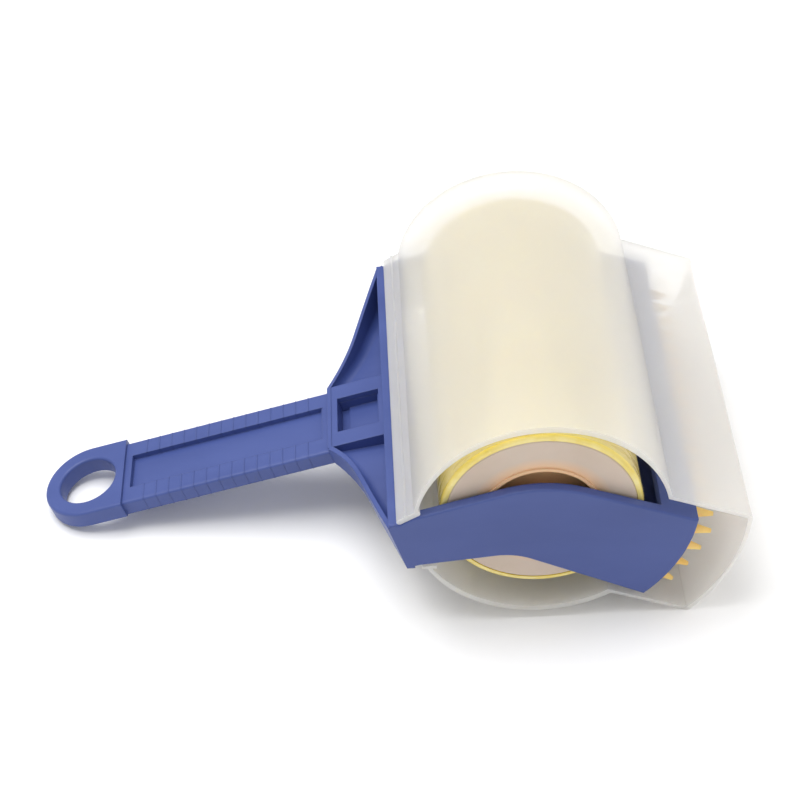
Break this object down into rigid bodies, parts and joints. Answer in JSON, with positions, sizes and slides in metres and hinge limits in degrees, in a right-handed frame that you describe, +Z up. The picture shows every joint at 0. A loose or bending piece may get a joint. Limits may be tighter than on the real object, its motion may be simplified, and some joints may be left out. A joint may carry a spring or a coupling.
{
  "type": "lint roller",
  "caption": "Washable lint roller: sticky roller between two arms, rubber cleaning fingers in front, handle with hanging loop, slide-off frosted cover.",
  "frame": {"origin": "on the surface it lies on, under the middle of the whole object", "axes": "+X from the hanging loop to the rubber fingers, Y along the roller's axle, +Z up as the object lies on its loop tip and its cover's front corner"},
  "size_m": [0.2546, 0.142, 0.0933],
  "materials": {
    "blue_plastic": "satin",
    "frosted_plastic": "frosted, translucent",
    "sticky_gel": "glossy, tacky",
    "clear_film": "thin, clear",
    "cap_plastic": "satin",
    "tube_plastic": "matte",
    "amber_rubber": "soft, matte",
    "retainer_plastic": "matte"
  },
  "bodies": {
    "frame": {"head_frame": "blue_plastic", "handle": "blue_plastic", "finger_strip": "amber_rubber", "strip_retainer": "retainer_plastic"},
    "roller": {"roller_tube": "tube_plastic", "sticky_sleeve": "sticky_gel", "release_film": "clear_film", "end_cap_near": "cap_plastic", "end_cap_far": "cap_plastic"},
    "cover": {"cover": "frosted_plastic"}
  },
  "joints": [
    {"name": "roller_spin", "type": "hinge", "parent": "frame", "child": "roller", "pos_m": [0.05557, 0, 0.04953], "axis": [0, 1, 0], "continuous": true},
    {"name": "cover_slide", "type": "slide", "parent": "frame", "child": "cover", "axis": [0, 1, 0], "range_m": [0, 0.15]}
  ]
}
